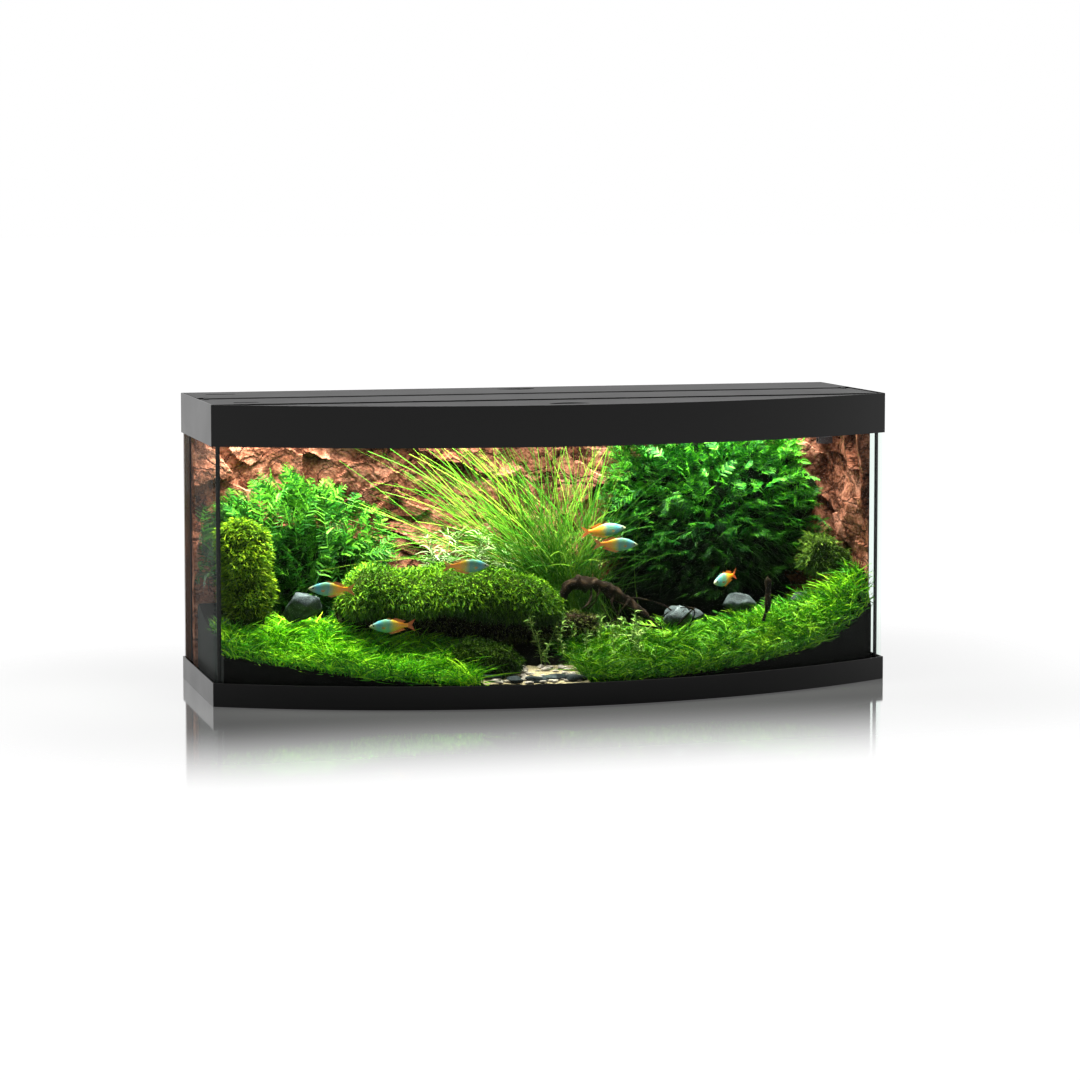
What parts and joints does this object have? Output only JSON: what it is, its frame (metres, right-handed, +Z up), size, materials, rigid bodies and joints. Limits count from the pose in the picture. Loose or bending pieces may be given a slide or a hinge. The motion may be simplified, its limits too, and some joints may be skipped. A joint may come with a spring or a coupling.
{
  "type": "bow-front aquarium",
  "caption": "Wide bow-front planted aquarium on a low base frame, with a black hood, hinged flaps, feeding hatch, lamp bridge and internal filter.",
  "frame": {"origin": "middle of the footprint, on the surface that the base frame stands on", "axes": "+X to the right along the width, +Y to the back, +Z up; the bowed front faces -Y"},
  "size_m": [1.51, 0.61, 0.64],
  "materials": {
    "black_plastic": "fine satin grain",
    "glass": "polished float glass",
    "silicone": "smooth",
    "grommet_rubber": "matt",
    "pin_steel": "drawn",
    "lamp_aluminium": "anodised",
    "led_strip": "satin",
    "lamp_diffuser": "frosted",
    "filter_plastic": "satin",
    "basket_plastic": "satin",
    "blue_foam": "open-cell foam",
    "black_foam": "open-cell foam",
    "white_floss": "felted fibre",
    "pump_plastic": "moulded",
    "impeller_plastic": "moulded",
    "heater_glass": "polished",
    "heater_cap": "satin",
    "red_rock": "rough cast relief",
    "soil": "granular",
    "sand": "granular",
    "grey_stone": "rough split stone",
    "driftwood": "weathered",
    "moss": "fine leafy pile",
    "fern_leaf": "waxy leaf",
    "grass_leaf": "waxy leaf",
    "stem_leaf": "soft leaf",
    "fish_skin": "scaled"
  },
  "bodies": {
    "tank": {"background_relief": "red_rock", "base_frame": "black_plastic", "bottom_pane": "glass", "carpet_grass_left": "grass_leaf", "carpet_grass_right": "grass_leaf", "centre_brace": "black_plastic", "driftwood_log": "driftwood", "driftwood_roots": "driftwood", "fern_bush_left": "fern_leaf", "fern_bush_right": "fern_leaf", "filter_cover_relief": "red_rock", "filter_housing": "filter_plastic", "fish_1": "fish_skin", "fish_2": "fish_skin", "fish_3": "fish_skin", "fish_4": "fish_skin", "fish_5": "fish_skin", "fish_6": "fish_skin", "front_pane": "glass", "heater_head": "heater_cap", "heater_tube": "heater_glass", "impeller_shaft": "pin_steel", "intake_grille": "filter_plastic", "left_pane": "glass", "long_grass": "grass_leaf", "moss_column": "moss", "moss_log_cover": "moss", "moss_mound": "moss", "pump_body": "pump_plastic", "rear_pane": "glass", "right_pane": "glass", "sand_path": "sand", "side_relief": "red_rock", "silicone_seams": "silicone", "soil_bed": "soil", "stem_plants": "stem_leaf", "stones": "grey_stone"},
    "hood": {"hood_frame": "black_plastic", "cable_grommet": "grommet_rubber"},
    "light_unit": {"light_housing": "black_plastic", "front_hinge_pins": "pin_steel", "rear_hinge_pins": "pin_steel", "led_profiles": "lamp_aluminium", "led_strips": "led_strip", "led_diffusers": "lamp_diffuser", "lamp_holders": "black_plastic"},
    "front_flap": {"front_flap": "black_plastic", "hatch_pin": "pin_steel"},
    "rear_flap": {"rear_flap": "black_plastic"},
    "feeding_hatch": {"feeding_hatch": "black_plastic"},
    "lower_basket": {"filter_basket_lower": "basket_plastic", "coarse_sponge": "blue_foam", "fine_sponge": "blue_foam"},
    "upper_basket": {"filter_basket_upper": "basket_plastic", "carbon_sponge": "black_foam", "filter_floss": "white_floss"},
    "impeller": {"pump_impeller": "impeller_plastic"},
    "nozzle": {"outlet_nozzle": "pump_plastic"},
    "heater_dial": {"heater_dial": "heater_cap"}
  },
  "joints": [
    {"name": "hood_lift", "type": "slide", "parent": "tank", "child": "hood", "axis": [0, 0, 1], "range_m": [0, 0.1]},
    {"name": "light_lift", "type": "slide", "parent": "hood", "child": "light_unit", "axis": [0, 0, 1], "range_m": [0, 0.08]},
    {"name": "front_flap_hinge", "type": "hinge", "parent": "light_unit", "child": "front_flap", "pos_m": [0, -0.083, 0.632], "axis": [-1, 0, 0], "range_deg": [0, 100]},
    {"name": "rear_flap_hinge", "type": "hinge", "parent": "light_unit", "child": "rear_flap", "pos_m": [0, 0.105, 0.636], "axis": [1, 0, 0], "range_deg": [0, 100]},
    {"name": "feeding_hatch_hinge", "type": "hinge", "parent": "front_flap", "child": "feeding_hatch", "pos_m": [-0.492, -0.117, 0.6342], "axis": [-1, 0, 0], "range_deg": [0, 100]},
    {"name": "lower_basket_lift", "type": "slide", "parent": "tank", "child": "lower_basket", "axis": [0, 0, 1], "range_m": [0, 0.06]},
    {"name": "upper_basket_lift", "type": "slide", "parent": "lower_basket", "child": "upper_basket", "axis": [0, 0, 1], "range_m": [0, 0.08]},
    {"name": "impeller_spin", "type": "hinge", "parent": "tank", "child": "impeller", "pos_m": [0.6995, 0.24, 0.458], "axis": [0, -1, 0], "continuous": true},
    {"name": "nozzle_swivel", "type": "hinge", "parent": "tank", "child": "nozzle", "pos_m": [0.6995, 0.14, 0.52], "axis": [0, -1, 0], "range_deg": [-45, 45]},
    {"name": "heater_dial_turn", "type": "hinge", "parent": "tank", "child": "heater_dial", "pos_m": [0.6995, 0.18, 0.45], "axis": [0, 0, 1], "range_deg": [0, 270]}
  ]
}
